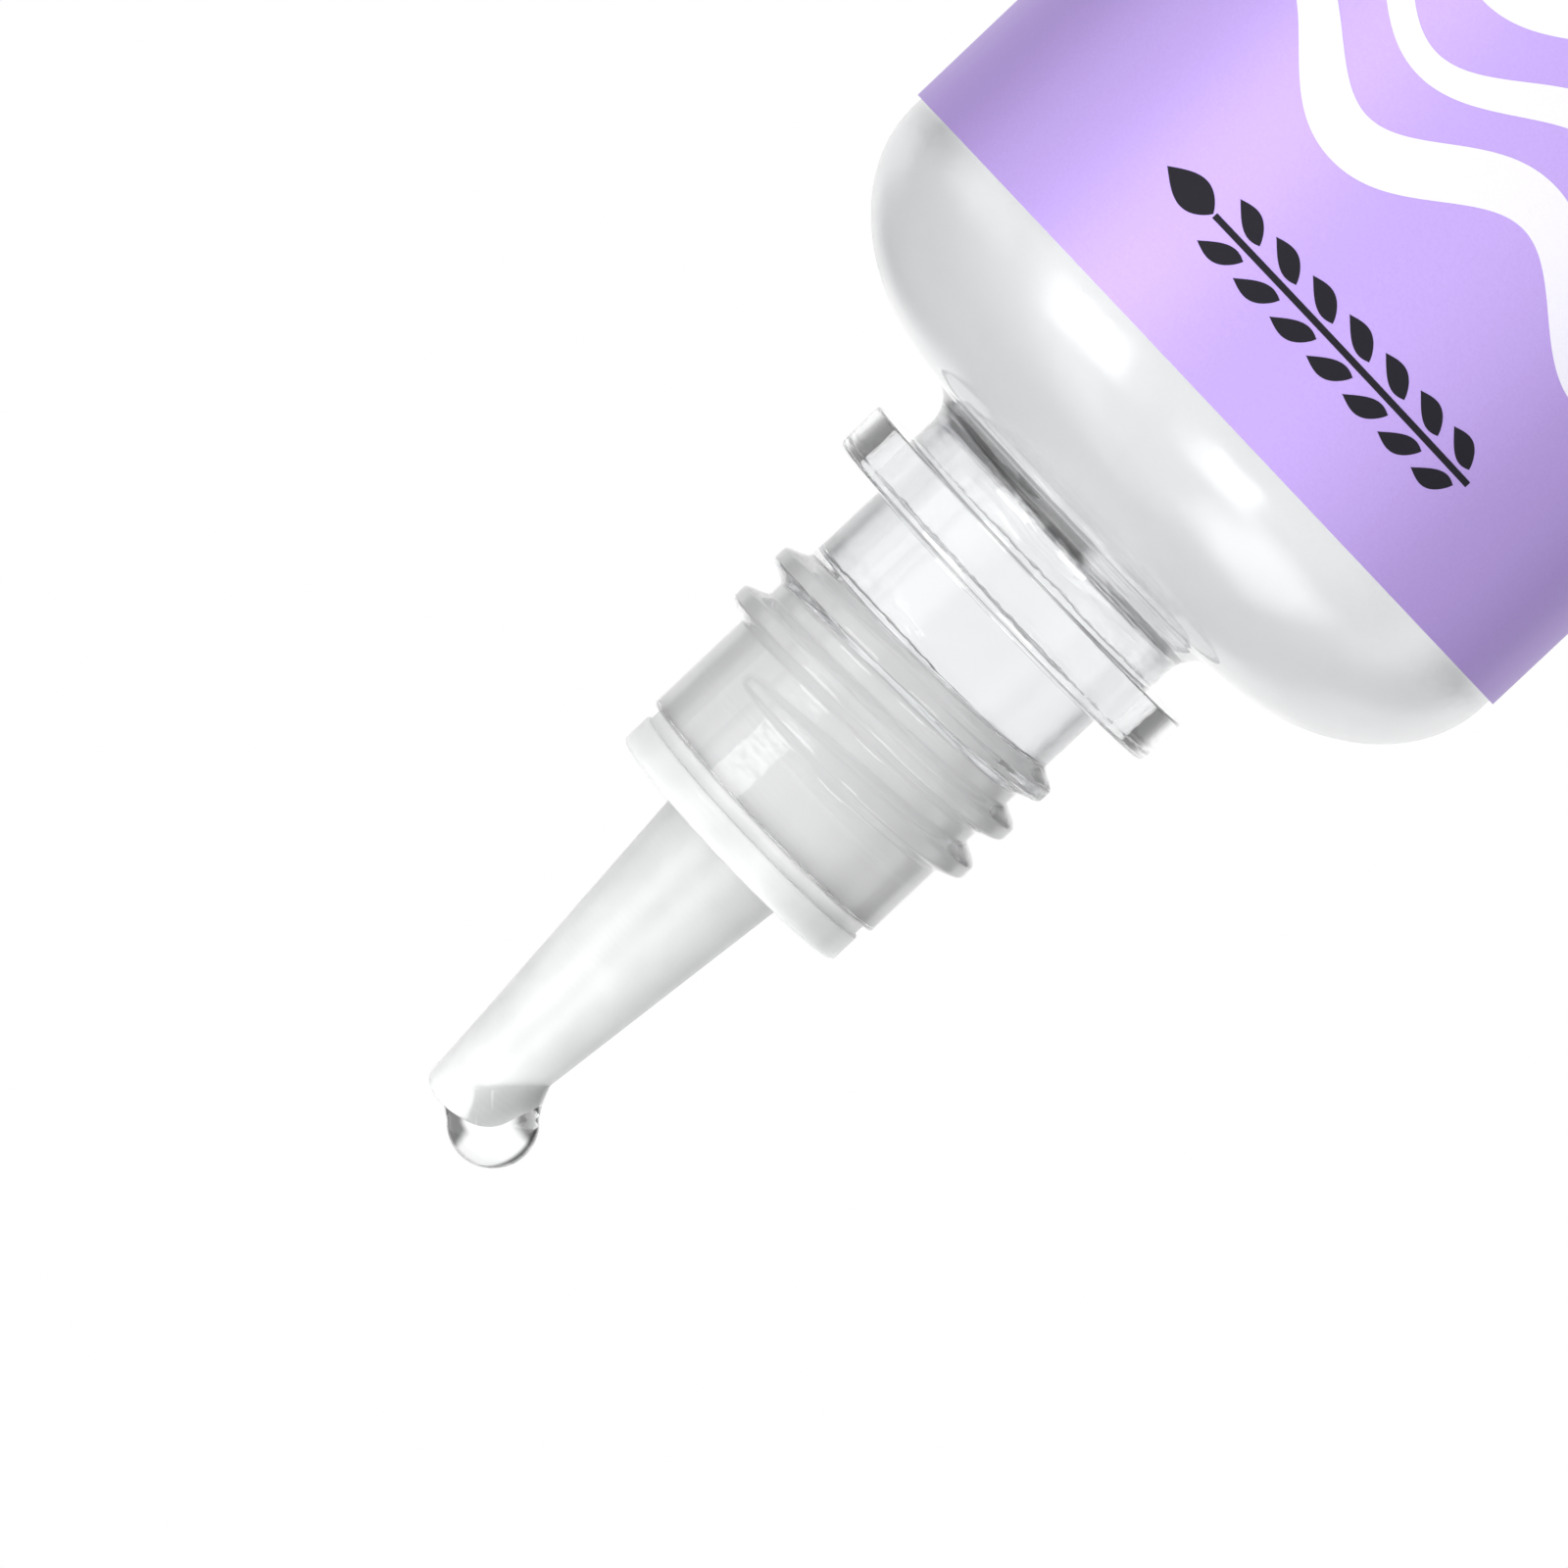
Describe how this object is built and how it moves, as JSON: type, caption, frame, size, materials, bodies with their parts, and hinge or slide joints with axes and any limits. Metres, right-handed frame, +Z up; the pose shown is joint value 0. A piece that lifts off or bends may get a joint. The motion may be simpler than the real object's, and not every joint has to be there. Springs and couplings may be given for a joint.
{
  "type": "glue applicator bottle",
  "caption": "Clear round squeeze bottle with a screw neck, a push-in tapered nozzle and a wrap label, holding clear glue, with a drop hanging at the tip.",
  "frame": {"origin": "centre of the standing ring, on the surface that the bottle stands on", "axes": "+Z up along the bottle's axis towards the nozzle, front of the label towards -Y, the drop hangs towards -X"},
  "size_m": [0.0354, 0.0354, 0.0912],
  "materials": {
    "clear_bottle": "gloss",
    "natural_nozzle": "satin",
    "label_film": "satin",
    "clear_glue": "gloss"
  },
  "bodies": {
    "bottle": {"bottle": "clear_bottle", "label": "label_film", "glue_fill": "clear_glue"},
    "nozzle": {"nozzle": "natural_nozzle", "glue_drop": "clear_glue"}
  },
  "joints": [
    {"name": "nozzle_pull", "type": "slide", "parent": "bottle", "child": "nozzle", "axis": [0, 0, 1], "range_m": [0, 0.012]}
  ]
}
